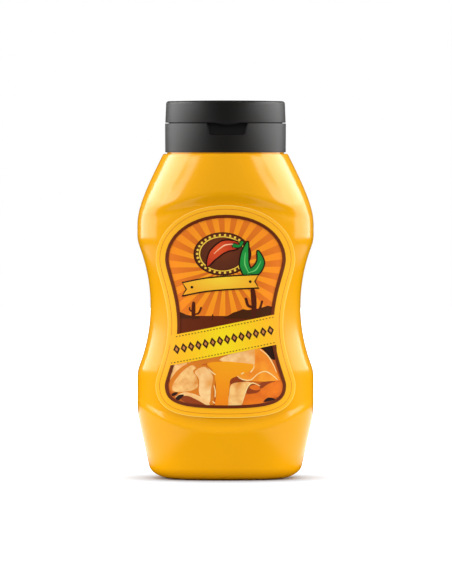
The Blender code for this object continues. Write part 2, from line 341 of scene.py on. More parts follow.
def half_depth(z):
    """Half the bottle's depth at height z, with the heel still square."""
    dome = HALF_DEPTH - DOME_BEND * max(z - DOME_Z, 0.0) ** 2
    return smooth_min(dome, BASE_HALF_DEPTH + BASE_DEPTH_SLOPE * z, SOFTNESS)


def section_power(z):
    """Power of the superellipse at height z."""
    fuller = smooth_step((RIM_Z - z) / (RIM_Z - SHOULDER_Z))
    return RIM_POWER + (BODY_POWER - RIM_POWER) * fuller


def crease_height(crease, x):
    """Height of the middle of a crease, at a distance x from the middle."""
    return crease["z"] + crease["rise"] * (abs(x) / BAND_HALF_WIDTH) ** crease["power"]


def panel_factor(x, z):
    """Factor on the depth: 1 outside the creases, less on the set-back panel."""
    under = crease_height(UPPER_CREASE, x) - z
    over = z - crease_height(LOWER_CREASE, x)
    share = (smooth_step(under / (2 * UPPER_CREASE["reach"]) + 0.5)
             * smooth_step(over / (2 * LOWER_CREASE["reach"]) + 0.5))
    return 1 - PANEL_STEP / HALF_DEPTH * share


def section_point(angle, z, inward=(0.0, 0.0)):
    """Point of the skin at height z, drawn in by inward across and in depth."""
    power = 2 / section_power(z)
    across = math.copysign(abs(math.cos(angle)) ** power, math.cos(angle))
    along = math.copysign(abs(math.sin(angle)) ** power, math.sin(angle))
    x = (half_width(z) - inward[0]) * across
    y = (half_depth(z) - inward[1]) * along
    return Vector((x, y * panel_factor(x, z), z))


def front_point(x, z):
    """Point of the bottle's front at (x, z)."""
    power = section_power(z)
    share = max(1 - abs(x / half_width(z)) ** power, 0.0) ** (1 / power)
    return Vector((x, -half_depth(z) * share * panel_factor(x, z), z))


def front_normal(x, z):
    """Outward direction of the bottle's front at (x, z)."""
    step = 0.05
    across = front_point(x + step, z) - front_point(x - step, z)
    up = front_point(x, z + step) - front_point(x, z - step)
    return across.cross(up).normalized()


print("waist", round(2 * half_width(WAIST_Z), 1), "mm wide")

# %% [markdown]
# ## From a mesh to a piece
# Every mesh here is made in millimetres, with its place in its vertices.  One helper
# turns it into an object in metres: it merges doubles, turns all faces outwards, shades
# it smooth with sharp edges left sharp, and says which body it rides on.

# %% Making a piece


def finish_piece(name, bm, material, slot, crease=30.0):
    """Object in metres from a mesh in millimetres, riding on the model's one body."""
    bmesh.ops.remove_doubles(bm, verts=bm.verts[:], dist=0.0005)
    bmesh.ops.recalc_face_normals(bm, faces=bm.faces[:])
    bmesh.ops.scale(bm, vec=(MM, MM, MM), verts=bm.verts[:])
    mesh = bpy.data.meshes.new(name)
    bm.to_mesh(mesh)
    bm.free()
    mesh.shade_smooth()
    mesh.set_sharp_from_angle(angle=math.radians(crease))
    mesh.materials.append(material)
    piece = bpy.data.objects.new(name, mesh)
    bpy.context.scene.collection.objects.link(piece)
    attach(piece, "root")
    return piece


def settle_modifiers(piece, crease=30.0):
    """Turn a piece's modifiers into plain mesh."""
    scene_graph = bpy.context.evaluated_depsgraph_get()
    mesh = bpy.data.meshes.new_from_object(piece.evaluated_get(scene_graph))
    piece.modifiers.clear()
    piece.data = mesh
    mesh.shade_smooth()
    mesh.set_sharp_from_angle(angle=math.radians(crease))


# %% [markdown]
# ## The bottle's skin
# A blown bottle is one smooth skin.  It could be a subdivided cage, but a cage would
# round the creases in its own way.  Here each level is a circle that the formulas push
# into its section, and bridges join the levels.  The heel rolls under on a quarter of an
# ellipse, down to the ring that the bottle stands on, and a shallow push-up keeps the
# middle of the underside off the table.

# %% Bottle skin
SKIN_SEGMENTS = 160
LEVEL_STEP = 1.0
HEEL_HEIGHT, HEEL_WIDTH, HEEL_DEPTH, HEEL_STEPS = 5.0, 8.5, 7.5, 12
RING_WIDTH = 5.0
PUSH_UP = ((0.0, 0.0), (0.6, 0.25), (1.4, 0.9), (2.2, 1.35), (3.2, 1.5))
RIM_EDGE = 0.35
COLLAR_RADIUS = 23.2
COLLAR_IN_CAP = 0.3


def add_ring(bm, place):
    """Closed ring of edges whose points are place(angle)."""
    ring = bmesh.ops.create_circle(bm, segments=SKIN_SEGMENTS, radius=1.0)["verts"]
    for vert in ring:
        vert.co = place(math.atan2(vert.co.y, vert.co.x))
    return list({edge for vert in ring for edge in vert.link_edges})


def underside_places():
    """Rings from the push-up out to the standing ring."""
    places = []
    for reach, height in reversed(PUSH_UP):
        inward = (HEEL_WIDTH + RING_WIDTH + reach, HEEL_DEPTH + RING_WIDTH + reach)
        places.append(lambda a, i=inward, h=height: section_point(a, 0, i) + Vector((0, 0, h)))
    return places


def heel_places():
    """Rings round the rolled heel."""
    places = []
    for i in range(HEEL_STEPS):
        turn = math.pi / 2 * i / HEEL_STEPS
        rest = 1 - math.sin(turn)
        inward = (HEEL_WIDTH * rest, HEEL_DEPTH * rest)
        z = HEEL_HEIGHT * (1 - math.cos(turn))
        places.append(lambda a, z=z, i=inward: section_point(a, z, i))
    return places


def wall_places():
    """Rings from the heel to the rim under the cap."""
    count = round((RIM_Z - RIM_EDGE - HEEL_HEIGHT) / LEVEL_STEP)
    step = (RIM_Z - RIM_EDGE - HEEL_HEIGHT) / count
    return [lambda a, z=HEEL_HEIGHT + i * step: section_point(a, z) for i in range(count + 1)]


def rim_places():
    """Rings over the rounded rim and up the collar that the cap hides."""
    places = []
    for turn in (0.25, 0.5, 0.75, 1.0):
        drawn = RIM_EDGE * (1 - math.cos(turn * math.pi / 2))
        z = RIM_Z - RIM_EDGE * (1 - math.sin(turn * math.pi / 2))
        places.append(lambda a, z=z, d=drawn: section_point(a, z, (d, d)))
    for z in (RIM_Z, skirt_low.z + COLLAR_IN_CAP):
        places.append(lambda a, z=z: Vector(
            (COLLAR_RADIUS * math.cos(a), COLLAR_RADIUS * math.sin(a), z)))
    return places


def make_skin():
    bm = bmesh.new()
    places = underside_places() + heel_places() + wall_places() + rim_places()
    rings = [add_ring(bm, place) for place in places]
    for below, above in zip(rings, rings[1:]):
        bmesh.ops.bridge_loops(bm, edges=below + above)
    for end in (rings[0], rings[-1]):
        bmesh.ops.contextual_create(bm, geom=end)
    skin = finish_piece("bottle_skin", bm, bottle_finish(), "bottle")
    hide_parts("bottle")
    return skin


skin = make_skin()
print("bottle skin", len(skin.data.polygons), "faces")

# %% [markdown]
# ## The flip-top cap
# The skirt and the lid are turned shapes, so a profile is drawn and spun round the
# upright axis.  A finger notch is cut into the skirt's front, under a thin crescent on
# the lid that the finger lifts, and a strap at the back is the living hinge.  The notch and
# the hinge pocket are cut with a Boolean.  The turned profiles are drawn with rounded
# edges, the notch's cutter is bevelled and the strap is rounded with a Bevel, which gives
# moulded edges, and those thin bright edges are what tells the eye that the black plastic
# is two pieces.

# %% Cap sizes
CAP_TURN = math.radians(1.6)
CAP_STEPS = 160
CAP_RADIUS = 24.0
CAP_BOTTOM, SKIRT_TOP, LID_TOP = skirt_low.z, skirt_high.z, lid_high.z
SEAM_Z = 141.0
LID_BOTTOM = 2 * SEAM_Z - SKIRT_TOP
LID_RADIUS, LID_TOP_RADIUS, LID_CORNER, LID_CROWN = 23.9, 23.6, 1.1, 0.3
NOTCH_HALF_WIDTH, NOTCH_FLOOR_HALF_WIDTH, NOTCH_FLOOR_Z = 8.15, 7.15, 136.3
NOTCH_BACK_Y, NOTCH_FLOOR_BACK_Y = -21.2, -22.5
LIP_ANGLE, LIP_DROP, LIP_THICKNESS = math.radians(13.5), 0.8, 1.5
HINGE_HALF_WIDTH, HINGE_HALF_HEIGHT, HINGE_FLOOR_Y = 7.0, 2.6, 22.6
GAP = 0.3
CORE_RADIUS, CORE_TOP = 22.6, LID_BOTTOM + 0.3
cap_plastic = cap_finish()

# %% Turning and cutting


def turned(profile):
    """Solid turned round the upright axis from (radius, height) points."""
    bm = bmesh.new()
    points = [bm.verts.new((radius, 0, z)) for radius, z in profile]
    edges = [bm.edges.new(pair) for pair in zip(points, points[1:])]
    bmesh.ops.spin(bm, geom=points + edges, axis=(0, 0, 1), cent=(0, 0, 0),
                   angle=2 * math.pi, steps=CAP_STEPS, use_merge=True)
    return bm


def turn_with_cap(bm):
    """Turn a mesh with the cap, which is screwed on a little past the front."""
    bmesh.ops.rotate(bm, verts=bm.verts[:], cent=(0, 0, 0),
                     matrix=Matrix.Rotation(CAP_TURN, 3, "Z"))
    return bm


def work_with(piece, operation, bm):
    """Cut a mesh out of a piece, or add it, and keep the result as plain mesh."""
    bmesh.ops.recalc_face_normals(bm, faces=bm.faces[:])
    bmesh.ops.scale(bm, vec=(MM, MM, MM), verts=bm.verts[:])
    mesh = bpy.data.meshes.new("tool")
    bm.to_mesh(mesh)
    bm.free()
    tool = bpy.data.objects.new("tool", mesh)
    bpy.context.scene.collection.objects.link(tool)
    modifier = piece.modifiers.new("work", "BOOLEAN")
    modifier.object = tool
    modifier.operation = operation
    modifier.solver = "EXACT"
    settle_modifiers(piece)
    bpy.data.objects.remove(tool, do_unlink=True)


def soften(piece, width):
    """Round a piece's sharp edges, as a mould does."""
    modifier = piece.modifiers.new("soft_edges", "BEVEL")
    modifier.width = width * MM
    modifier.segments = 2
    modifier.limit_method = "ANGLE"
    modifier.angle_limit = math.radians(40)
    modifier.harden_normals = False
    settle_modifiers(piece)


def arc(centre, radius, start, end, steps):
    """Points of an arc in (radius, height), angles in degrees."""
    turns = [math.radians(start + (end - start) * i / steps) for i in range(steps + 1)]
    return [(centre[0] + radius * math.cos(t), centre[1] + radius * math.sin(t)) for t in turns]


# %% Notch, pocket and lip


def notch_tool():
    """Wedge that scoops the finger notch, deeper at the seam than at its floor."""
    bm = bmesh.new()
    bmesh.ops.create_cube(bm, size=2.0)
    lean = (NOTCH_HALF_WIDTH - NOTCH_FLOOR_HALF_WIDTH) / (SEAM_Z - NOTCH_FLOOR_Z)
    back = (NOTCH_BACK_Y - NOTCH_FLOOR_BACK_Y) / (SEAM_Z - NOTCH_FLOOR_Z)
    for vert in bm.verts:
        rise = (SEAM_Z + 1 - NOTCH_FLOOR_Z) * (vert.co.z + 1) / 2
        behind = NOTCH_FLOOR_BACK_Y + back * rise
        x = vert.co.x * (NOTCH_FLOOR_HALF_WIDTH + lean * rise)
        y = behind if vert.co.y > 0 else -CAP_RADIUS - 2
        vert.co = (x, y, NOTCH_FLOOR_Z + rise)
    foot = [e for e in bm.edges if max(v.co.z for v in e.verts) < NOTCH_FLOOR_Z + 0.1
            or all(v.co.y > -CAP_RADIUS for v in e.verts)]
    bmesh.ops.bevel(bm, geom=foot, offset=0.7, segments=4, profile=0.5, affect="EDGES",
                    material=-1)
    return turn_with_cap(bm)


def lip_tool():
    """Crescent under the lid's front edge."""
    outer = LID_RADIUS - 0.05
    bm = bmesh.new()
    corners = [(outer - LIP_THICKNESS, SEAM_Z - 1), (outer, SEAM_Z - 1),
               (outer, SEAM_Z + 1), (outer - LIP_THICKNESS, SEAM_Z + 1)]
    points = [bm.verts.new((radius, 0, z)) for radius, z in corners]
    section = bm.faces.new(points)
    bmesh.ops.rotate(bm, verts=points, cent=(0, 0, 0),
                     matrix=Matrix.Rotation(-math.pi / 2 - LIP_ANGLE, 3, "Z"))
    swept = bmesh.ops.spin(bm, geom=[section], axis=(0, 0, 1), cent=(0, 0, 0),
                           angle=2 * LIP_ANGLE, steps=24)
    bmesh.ops.contextual_create(bm, geom=[g for g in swept["geom_last"]
                                          if isinstance(g, bmesh.types.BMEdge)])
    for vert in bm.verts:
        if vert.co.z < SEAM_Z:
            off_front = math.atan2(vert.co.x, -vert.co.y) / LIP_ANGLE
            sag = (LIP_DROP + 0.1) * math.cos(off_front * math.pi / 2)
            vert.co.z = LID_BOTTOM + 0.1 - sag
    return turn_with_cap(bm)


def strap_plan(radius, floor, half_width_of_plan, low, high):
    """Upright prism with an arc outside and a flat floor inside."""
    reach = math.asin(half_width_of_plan / radius)
    turns = [reach - 2 * reach * i / 16 for i in range(17)]
    outline = [(radius * math.sin(t), radius * math.cos(t)) for t in turns]
    outline += [(-half_width_of_plan, floor), (half_width_of_plan, floor)]
    bm = bmesh.new()
    plan = bm.faces.new([bm.verts.new((x, y, low)) for x, y in outline])
    lifted = bmesh.ops.extrude_face_region(bm, geom=[plan])["geom"]
    verts = [g for g in lifted if isinstance(g, bmesh.types.BMVert)]
    bmesh.ops.translate(bm, verts=verts, vec=(0, 0, high - low))
    return bm


def pocket_tool():
    """Pocket in lid and skirt that the hinge strap lies in."""
    reach = HINGE_HALF_HEIGHT + GAP
    return turn_with_cap(strap_plan(CAP_RADIUS + 2, HINGE_FLOOR_Y - GAP,
                                    HINGE_HALF_WIDTH + GAP, SEAM_Z - reach, SEAM_Z + reach))


# %% Skirt


def make_skirt():
    edge = 0.22
    profile = [(0, CAP_BOTTOM), (CAP_RADIUS - 0.06 - edge, CAP_BOTTOM)]
    profile += arc((CAP_RADIUS - 0.06 - edge, CAP_BOTTOM + edge), edge, -60, 0, 3)
    profile += arc((CAP_RADIUS - edge, SKIRT_TOP - edge), edge, 0, 90, 4)
    profile += [(CORE_RADIUS, SKIRT_TOP), (CORE_RADIUS, CORE_TOP), (0, CORE_TOP)]
    piece = finish_piece("cap_skirt", turned(profile), cap_plastic, "cap")
    work_with(piece, "DIFFERENCE", notch_tool())
    work_with(piece, "DIFFERENCE", pocket_tool())
    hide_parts("cap_base")
    return piece


skirt = make_skirt()
print("skirt", len(skirt.data.polygons), "faces")

# %% Lid


def make_lid():
    edge = 0.25
    profile = [(0, LID_BOTTOM)]
    profile += arc((LID_RADIUS - edge, LID_BOTTOM + edge), edge, -90, 0, 4)
    corner = (LID_TOP_RADIUS - LID_CORNER, LID_TOP - LID_CROWN - LID_CORNER)
    profile += arc(corner, LID_CORNER, 2, 88, 8)
    for share in (0.75, 0.5, 0.25):
        profile.append((corner[0] * share, LID_TOP - LID_CROWN * share ** 2))
    profile.append((0, LID_TOP))
    piece = finish_piece("cap_lid_shell", turned(profile), cap_plastic, "cap")
    work_with(piece, "DIFFERENCE", pocket_tool())
    work_with(piece, "UNION", lip_tool())
    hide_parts("cap_lid")
    return piece


lid = make_lid()
print("lid", len(lid.data.polygons), "faces")

# %% Hinge strap
HINGE_FOLD = 0.5


def make_hinge():
    bm = strap_plan(LID_RADIUS, HINGE_FLOOR_Y, HINGE_HALF_WIDTH,
                    SEAM_Z - HINGE_HALF_HEIGHT, SEAM_Z + HINGE_HALF_HEIGHT)
    for height in (-1.6, -0.8, 0.0, 0.8, 1.6):
        bmesh.ops.bisect_plane(bm, geom=bm.verts[:] + bm.edges[:] + bm.faces[:],
                               plane_co=(0, 0, SEAM_Z + height * HINGE_FOLD),
                               plane_no=(0, 0, 1))
    for vert in bm.verts:
        off_fold = abs(vert.co.z - SEAM_Z) / HINGE_FOLD
        if off_fold < 1 and math.hypot(vert.co.x, vert.co.y) > LID_RADIUS - 0.1:
            vert.co.y -= HINGE_FOLD * (1 - off_fold ** 2)
    piece = finish_piece("cap_hinge_strap", turn_with_cap(bm), cap_plastic, "cap")
    soften(piece, 0.15)
    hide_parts("cap_hinge")
    return piece


hinge = make_hinge()
print("hinge", len(hinge.data.polygons), "faces")

# %% [markdown]
# ## Cutting and bending the labels
# A label is a thin film, die-cut to a waisted outline and pressed onto the set-back panel.
# It could be shrink-wrapped onto the skin, but then its edge would wander.  Here its
# artwork is drawn flat, at true size, as faces with an outline.  Each face is cut into
# narrow strips on one common grid, gets a thickness, and every point is then carried to
# the panel by the bottle's own formulas.  All sheets share the grid, so they bend alike
# and lie one on another like the inks of a print.

# %% Outline of the printed frame
FRAME_TOP, FRAME_BOTTOM = 104.9, 28.7
FRAME_SHOULDER, FRAME_WAIST, FRAME_HIP = (23.3, 87.6), (18.6, 61.3), (23.5, 37.7)
FRAME_WIDTH = 1.2
FILM_MARGIN = 3.75
CURVE_STEPS = 14


def curve_points(start, start_pull, end_pull, end, count):
    """Points of one cubic curve, without its last."""
    points = []
    for i in range(count):
        t = i / count
        points.append((1 - t) ** 3 * Vector(start) + 3 * (1 - t) ** 2 * t * Vector(start_pull)
                      + 3 * (1 - t) * t ** 2 * Vector(end_pull) + t ** 3 * Vector(end))
    return points


def frame_outline(outward=0.0):
    """Closed outline of the printed frame, moved outward by a distance."""
    crown, foot = (0.0, FRAME_TOP), (0.0, FRAME_BOTTOM)
    shoulder_x, shoulder_z = FRAME_SHOULDER
    waist_x, waist_z = FRAME_WAIST
    hip_x, hip_z = FRAME_HIP
    pulls = (
        (crown, (14.0, FRAME_TOP), (shoulder_x, shoulder_z + 9.2), FRAME_SHOULDER),
        (FRAME_SHOULDER, (shoulder_x, shoulder_z - 4.9), (waist_x, waist_z + 12.5), FRAME_WAIST),
        (FRAME_WAIST, (waist_x, waist_z - 11.3), (hip_x, hip_z + 2.7), FRAME_HIP),
        (FRAME_HIP, (hip_x, hip_z - 6.9), (18.8, FRAME_BOTTOM), foot),
    )
    right = [point for pull in pulls for point in curve_points(*pull, CURVE_STEPS)]
    right.append(Vector(foot))
    loop = right + [Vector((-p.x, p.y)) for p in reversed(right[1:-1])]
    moved = []
    for i, point in enumerate(loop):
        along = loop[(i + 1) % len(loop)] - loop[i - 1]
        moved.append(point + outward * Vector((-along.y, along.x)).normalized())
    return moved


print("frame outline", len(frame_outline()), "points")

# %% Flat sheets
STRIP_WIDTH, STRIP_HEIGHT = 1.2, 2.4


def sheet(*outlines):
    """Flat faces, one for each outline of (x, z) points."""
    bm = bmesh.new()
    for outline in outlines:
        bm.faces.new([bm.verts.new((x, 0, z)) for x, z in outline])
    return bm


def ring_sheet(outer, inner):
    """Flat band between two closed outlines of as many points each."""
    bm = bmesh.new()
    edges = []
    for outline in (outer, inner):
        verts = [bm.verts.new((x, 0, z)) for x, z in outline]
        edges += [bm.edges.new(pair) for pair in zip(verts, verts[1:] + verts[:1])]
    bmesh.ops.bridge_loops(bm, edges=edges)
    return bm


def cut_sheet(bm, point, direction, keep=None):
    """Cut a sheet along a line that runs to the right; keep what is above or below it."""
    bmesh.ops.bisect_plane(bm, geom=bm.verts[:] + bm.edges[:] + bm.faces[:], dist=0.0005,
                           plane_co=(point[0], 0, point[1]),
                           plane_no=(direction[1], 0, -direction[0]),
                           clear_outer=keep == "above", clear_inner=keep == "below")


def cut_in_strips(bm):
    """Cut a sheet on the common grid."""
    for axis, size, direction in ((0, STRIP_WIDTH, (0, 1)), (2, STRIP_HEIGHT, (1, 0))):
        reach = [vert.co[axis] for vert in bm.verts]
        for i in range(math.ceil(min(reach) / size), math.floor(max(reach) / size) + 1):
            place = (i * size, 0) if axis == 0 else (0, i * size)
            cut_sheet(bm, place, direction)


# %% Bending a sheet onto the bottle
FILM_LOW, FILM_HIGH = 0.3, 0.65
PLY = 0.02
INK_DEPTH = 0.05


def bend(bm, low, high):
    """Give a sheet its thickness, from low to high off the skin, round the front panel."""
    cut_in_strips(bm)
    lifted = bmesh.ops.extrude_face_region(bm, geom=bm.faces[:])["geom"]
    outer = {item for item in lifted if isinstance(item, bmesh.types.BMVert)}
    for vert in bm.verts:
        x, _, z = vert.co
        vert.co = front_point(x, z) + front_normal(x, z) * (high if vert in outer else low)


def lay_down(name, bm, material, low, high, side):
    """Bend a sheet, turn it to its side of the bottle and make it a piece."""
    bend(bm, low, high)
    turn = math.pi if side == "back" else 0.0
    bmesh.ops.rotate(bm, verts=bm.verts[:], cent=(0, 0, 0),
                     matrix=Matrix.Rotation(turn, 3, "Z"))
    return finish_piece(name + "_" + side, bm, material, "label_" + side)


def print_ink(name, bm, material, ply, side="front"):
    """Print a sheet on a label; a higher ply lies over a lower one."""
    return lay_down(name, bm, material, FILM_HIGH - INK_DEPTH, FILM_HIGH + PLY * ply, side)


# %% [markdown]
# ## Film, painted edge highlight and frame
# Both labels have the same film, with a fine pale line painted along the die-cut edge as
# the highlight that the film's cut edge catches, a thin printed line inside that, and a
# broad brown frame.  On the front a banner crosses the frame, so the frame is cut open
# between the banner's two slanting edges.

# %% Inks shared by both labels
FILM_YELLOW = paint(254, 181, 4)
film_ink = ink("label_film", FILM_YELLOW, 0.34, 0.985)
# Pale ink for the painted highlight along the die-cut edge of the film.
edge_highlight_ink = ink("painted_edge_highlight", paint(255, 216, 92))
line_ink = ink("thin_line", paint(214, 120, 6))
frame_ink = ink("frame_brown", paint(106, 40, 0))
BANNER_TOP = ((-18.87, 57.78), (37.96, 7.83))
BANNER_FOOT = ((-20.9, 45.55), (39.99, 8.02))


def open_at_banner(bm):
    """Take away the part of a sheet that the banner crosses."""
    cut_sheet(bm, *BANNER_TOP)
    cut_sheet(bm, *BANNER_FOOT)
    crossed = []
    for face in bm.faces:
        middle = face.calc_center_median()
        over_foot = middle.z - line_height(BANNER_FOOT, middle.x)
        under_top = line_height(BANNER_TOP, middle.x) - middle.z
        if over_foot > 0 and under_top > 0:
            crossed.append(face)
    bmesh.ops.delete(bm, geom=crossed, context="FACES")


def line_height(line, x):
    """Height of a slanting line at x."""
    (start_x, start_z), (run, rise) = line
    return start_z + rise * (x - start_x) / run


# %% Film, lines and frame
EDGE_HIGHLIGHT_WIDTH = 0.22
THIN_LINE_AT, THIN_LINE_WIDTH = 2.3, 0.2


def make_film(side):
    """Film with its lines and frame on one side of the bottle."""
    film = lay_down("label_film", sheet(frame_outline(FILM_MARGIN)), film_ink,
                    FILM_LOW, FILM_HIGH, side)
    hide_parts("label_" + side)
    # The pale line along the die-cut edge is a painted highlight, where the film's cut edge catches the
    # light.
    edge = ring_sheet(frame_outline(FILM_MARGIN), frame_outline(FILM_MARGIN - EDGE_HIGHLIGHT_WIDTH))
    print_ink("label_painted_edge_highlight", edge, edge_highlight_ink, 1, side)
    line = ring_sheet(frame_outline(THIN_LINE_AT),
                      frame_outline(THIN_LINE_AT - THIN_LINE_WIDTH))
    print_ink("label_thin_line", line, line_ink, 1, side)
    frame_band = ring_sheet(frame_outline(), frame_outline(-FRAME_WIDTH))
    if side == "front":
        open_at_banner(frame_band)
    print_ink("label_frame", frame_band, frame_ink, 14, side)


for side in ("front", "back"):
    make_film(side)
print("film, lines and frame on both sides")

# %% [markdown]
# ## Desert picture
# The upper window shows a sunburst over a desert.  All rays run through one point, so
# the window's sheet is cut by lines through that point, and every second sector is
# printed in the lighter ink.  Ground, hills and cacti are plain silhouettes.  Soft
# outlines are curves through a few points, and a cactus is a set of thick rounded strokes.

# %% Drawing helpers


def on_curve(neighbours, t):
    """Point between the middle two of four neighbours, on a smooth curve through all."""
    before, here, there, after = (Vector(point) for point in neighbours)
    return here + 0.5 * (
        t * (there - before) + t ** 2 * (2 * before - 5 * here + 4 * there - after)
        + t ** 3 * (3 * here - before - 3 * there + after))


def smooth_loop(points, steps=4):
    """Closed smooth outline through a few points."""
    outline = []
    for i in range(len(points)):
        neighbours = [points[(i + k) % len(points)] for k in (-1, 0, 1, 2)]
        outline += [on_curve(neighbours, j / steps) for j in range(steps)]
    return outline


def ellipse(centre, half_x, half_z, steps=72, tilt=0.0):
    """Closed outline of an ellipse, tilted by degrees."""
    outline = []
    for i in range(steps):
        turn = -2 * math.pi * i / steps
        point = Vector((half_x * math.cos(turn), half_z * math.sin(turn)))
        point.rotate(Matrix.Rotation(math.radians(tilt), 2))
        outline.append(Vector(centre) + point)
    return outline


def stroke(points, widths, steps=6, cap=4):
    """Outline of a line through points; its width runs through widths, its ends are round."""
    spine = []
    for i in range((len(points) - 1) * steps + 1):
        k, t = divmod(i / steps, 1.0)
        neighbours = [points[min(max(int(k) + j, 0), len(points) - 1)] for j in (-1, 0, 1, 2)]
        spine.append(on_curve(neighbours, t))
    halves = []
    for i in range(len(spine)):
        k, t = divmod(i / (len(spine) - 1) * (len(widths) - 1), 1.0)
        after = widths[min(int(k) + 1, len(widths) - 1)]
        halves.append((widths[int(k)] * (1 - t) + after * t) / 2)
    left, right = [], []
    for i, point in enumerate(spine):
        along = (spine[min(i + 1, len(spine) - 1)] - spine[max(i - 1, 0)]).normalized()
        off = Vector((-along.y, along.x)) * halves[i]
        left.append(point + off)
        right.append(point - off)
    ends = []
    for point, rim in ((spine[-1], left[-1]), (spine[0], right[0])):
        for i in range(1, cap):
            arm = Vector(rim - point)
            arm.rotate(Matrix.Rotation(-math.pi * i / cap, 2))
            ends.append(point + arm)
    return left + ends[:cap - 1] + right[::-1] + ends[cap - 1:]


print("a round dot as a stroke has", len(stroke([(0, 0), (1, 0)], [1, 1])), "points")

# %% Sunburst
SUN = (-0.2, 84.3)
RAY_COUNT = 24
RAY_PITCH = 360 / RAY_COUNT
RAY_LEAN = 3.3
WINDOW_INSET = 0.6
FAR_RAY = 24.0


def upper_window():
    """Sheet of the window above the banner, its edge hidden by the frame."""
    bm = sheet(frame_outline(-WINDOW_INSET))
    cut_sheet(bm, (BANNER_TOP[0][0], BANNER_TOP[0][1] - 0.5), BANNER_TOP[1], "above")
    return bm


def sunburst_sheet(lit):
    """Every second sector of the window, seen from the sun."""
    bm = upper_window()
    for i in range(RAY_COUNT):
        turn = math.radians(RAY_LEAN + (i + 0.5) * RAY_PITCH / 2)
        cut_sheet(bm, SUN, (math.sin(turn), math.cos(turn)))
    other = []
    for face in bm.faces:
        middle = face.calc_center_median()
        turn = math.degrees(math.atan2(middle.x - SUN[0], middle.z - SUN[1]))
        in_ray = (turn - RAY_LEAN + RAY_PITCH / 4) % RAY_PITCH < RAY_PITCH / 2
        if in_ray != lit:
            other.append(face)
    bmesh.ops.delete(bm, geom=other, context="FACES")
    return bm


light_rays = vignette("sun_rays", SUN, FAR_RAY, paint(255, 172, 6), paint(253, 140, 0))
dark_rays = vignette("sky_between_rays", SUN, FAR_RAY, paint(212, 98, 6), paint(234, 120, 2))
print_ink("sun_rays", sunburst_sheet(True), light_rays, 1)
print_ink("sky_sectors", sunburst_sheet(False), dark_rays, 1)
print("sunburst of", RAY_COUNT, "rays")

# %% Ground, hills and cacti
ground_ink = ink("desert_ground", paint(105, 38, 2))
hill_ink = ink("far_hills", paint(76, 34, 2))
cactus_ink = ink("cactus_shade", paint(84, 28, 3))
GROUND_LEVEL = 65.1
GROUND_REACH = 18.2

GROUND = [(-GROUND_REACH, 57.0), (GROUND_REACH, 64.6), (GROUND_REACH, GROUND_LEVEL),
          (-GROUND_REACH, GROUND_LEVEL)]
LEFT_HILL = [(-GROUND_REACH, 64.0), (-GROUND_REACH, 66.7), (-16.6, 66.2), (-15.2, 65.5),
             (-13.4, 65.2), (-10.0, 65.0), (-10.0, 64.0)]
RIGHT_HILL = [(-0.6, 64.6), (1.4, 65.4), (3.0, 66.4), (4.9, 67.0), (6.9, 67.8), (8.5, 67.4),
              (11.5, 67.7), (14.4, 68.4), (16.3, 69.1), (GROUND_REACH, 68.6),
              (GROUND_REACH, 64.0), (-0.6, 64.0)]
CACTUS_STROKES = (
    ([(-12.5, 63.9), (-12.4, 70.2)], [0.9, 1.5, 1.5, 1.2]),
    ([(-12.0, 65.6), (-10.4, 66.3), (-9.5, 68.3)], [0.5, 0.7, 0.8]),
    ([(-13.0, 66.8), (-13.9, 67.5), (-13.9, 68.4)], [0.5, 0.6, 0.5]),
    ([(-5.1, 63.6), (-5.0, 65.5)], [0.4, 0.5]),
    ([(10.9, 64.0), (11.1, 70.0), (10.6, 75.2)], [1.2, 1.9, 2.1, 1.7]),
    ([(10.6, 68.6), (8.8, 69.2), (8.0, 71.8)], [0.9, 1.1, 1.1]),
    ([(11.6, 67.0), (13.3, 67.9), (14.2, 70.8)], [0.6, 0.9, 0.8]),
)

print_ink("desert_ground", sheet(GROUND), ground_ink, 2)
print_ink("far_hills", sheet(LEFT_HILL, RIGHT_HILL), hill_ink, 3)
for i, (points, widths) in enumerate(CACTUS_STROKES):
    print_ink("cactus_stroke_%d" % (i + 1), sheet(stroke(points, widths)), cactus_ink, 4)
print("desert with", len(CACTUS_STROKES), "cactus strokes")

# %% [markdown]
# ## Medallion and name ribbon
# Where a maker would put its badge, this label has a plain one: a brown medallion with a
# ring of beads, a red chilli across it and two green ones beside it.  Under it a blank
# ribbon rises to the right.  A chilli is one stroke that tapers to its tip, a slimmer
# stroke for its shine, and a short green stalk.

# %% Medallion
MEDALLION = (-1.2, 89.5)
MEDALLION_HALF = (11.0, 8.3)
BEAD_COUNT = 30
medallion_rim = ink("medallion_rim", paint(52, 22, 4))
medallion_ink = vignette("medallion_brown", (-1.2, 92.0), 13.0, paint(118, 50, 14),
                         paint(82, 33, 6))
bead_ink = ink("bead_yellow", paint(250, 206, 66))


def medallion_outline(share):
    """Outline of the medallion, scaled."""
    return ellipse(MEDALLION, MEDALLION_HALF[0] * share, MEDALLION_HALF[1] * share)


def bead_outlines():
    """Small round beads between the medallion's rim and its ring."""
    beads = []
    for i in range(BEAD_COUNT):
        turn = 2 * math.pi * i / BEAD_COUNT
        centre = (MEDALLION[0] + 0.895 * MEDALLION_HALF[0] * math.cos(turn),
                  MEDALLION[1] + 0.895 * MEDALLION_HALF[1] * math.sin(turn))
        beads.append(ellipse(centre, 0.48, 0.48, steps=10))
    return beads


print_ink("medallion_rim", sheet(medallion_outline(1.025)), medallion_rim, 5)
print_ink("medallion_field", sheet(medallion_outline(0.985)), medallion_ink, 6)
print_ink("medallion_beads", sheet(*bead_outlines()), bead_ink, 7)
print_ink("medallion_ring", ring_sheet(medallion_outline(0.835), medallion_outline(0.79)),
          bead_ink, 7)
print("medallion with", BEAD_COUNT, "beads")

# %% Chillies
chilli_edge = ink("chilli_outline", paint(34, 14, 4))
chilli_red = vignette("chilli_red", (-3.5, 91.5), 9.0, paint(236, 84, 22), paint(178, 26, 8))
chilli_green = vignette("chilli_green", (9.0, 88.0), 8.0, paint(24, 164, 64),
                        paint(4, 128, 44))
shine_ink = ink("chilli_shine", paint(255, 196, 150))
green_shine = ink("green_shine", paint(110, 206, 110))
OUTLINE_WIDTH = 0.55
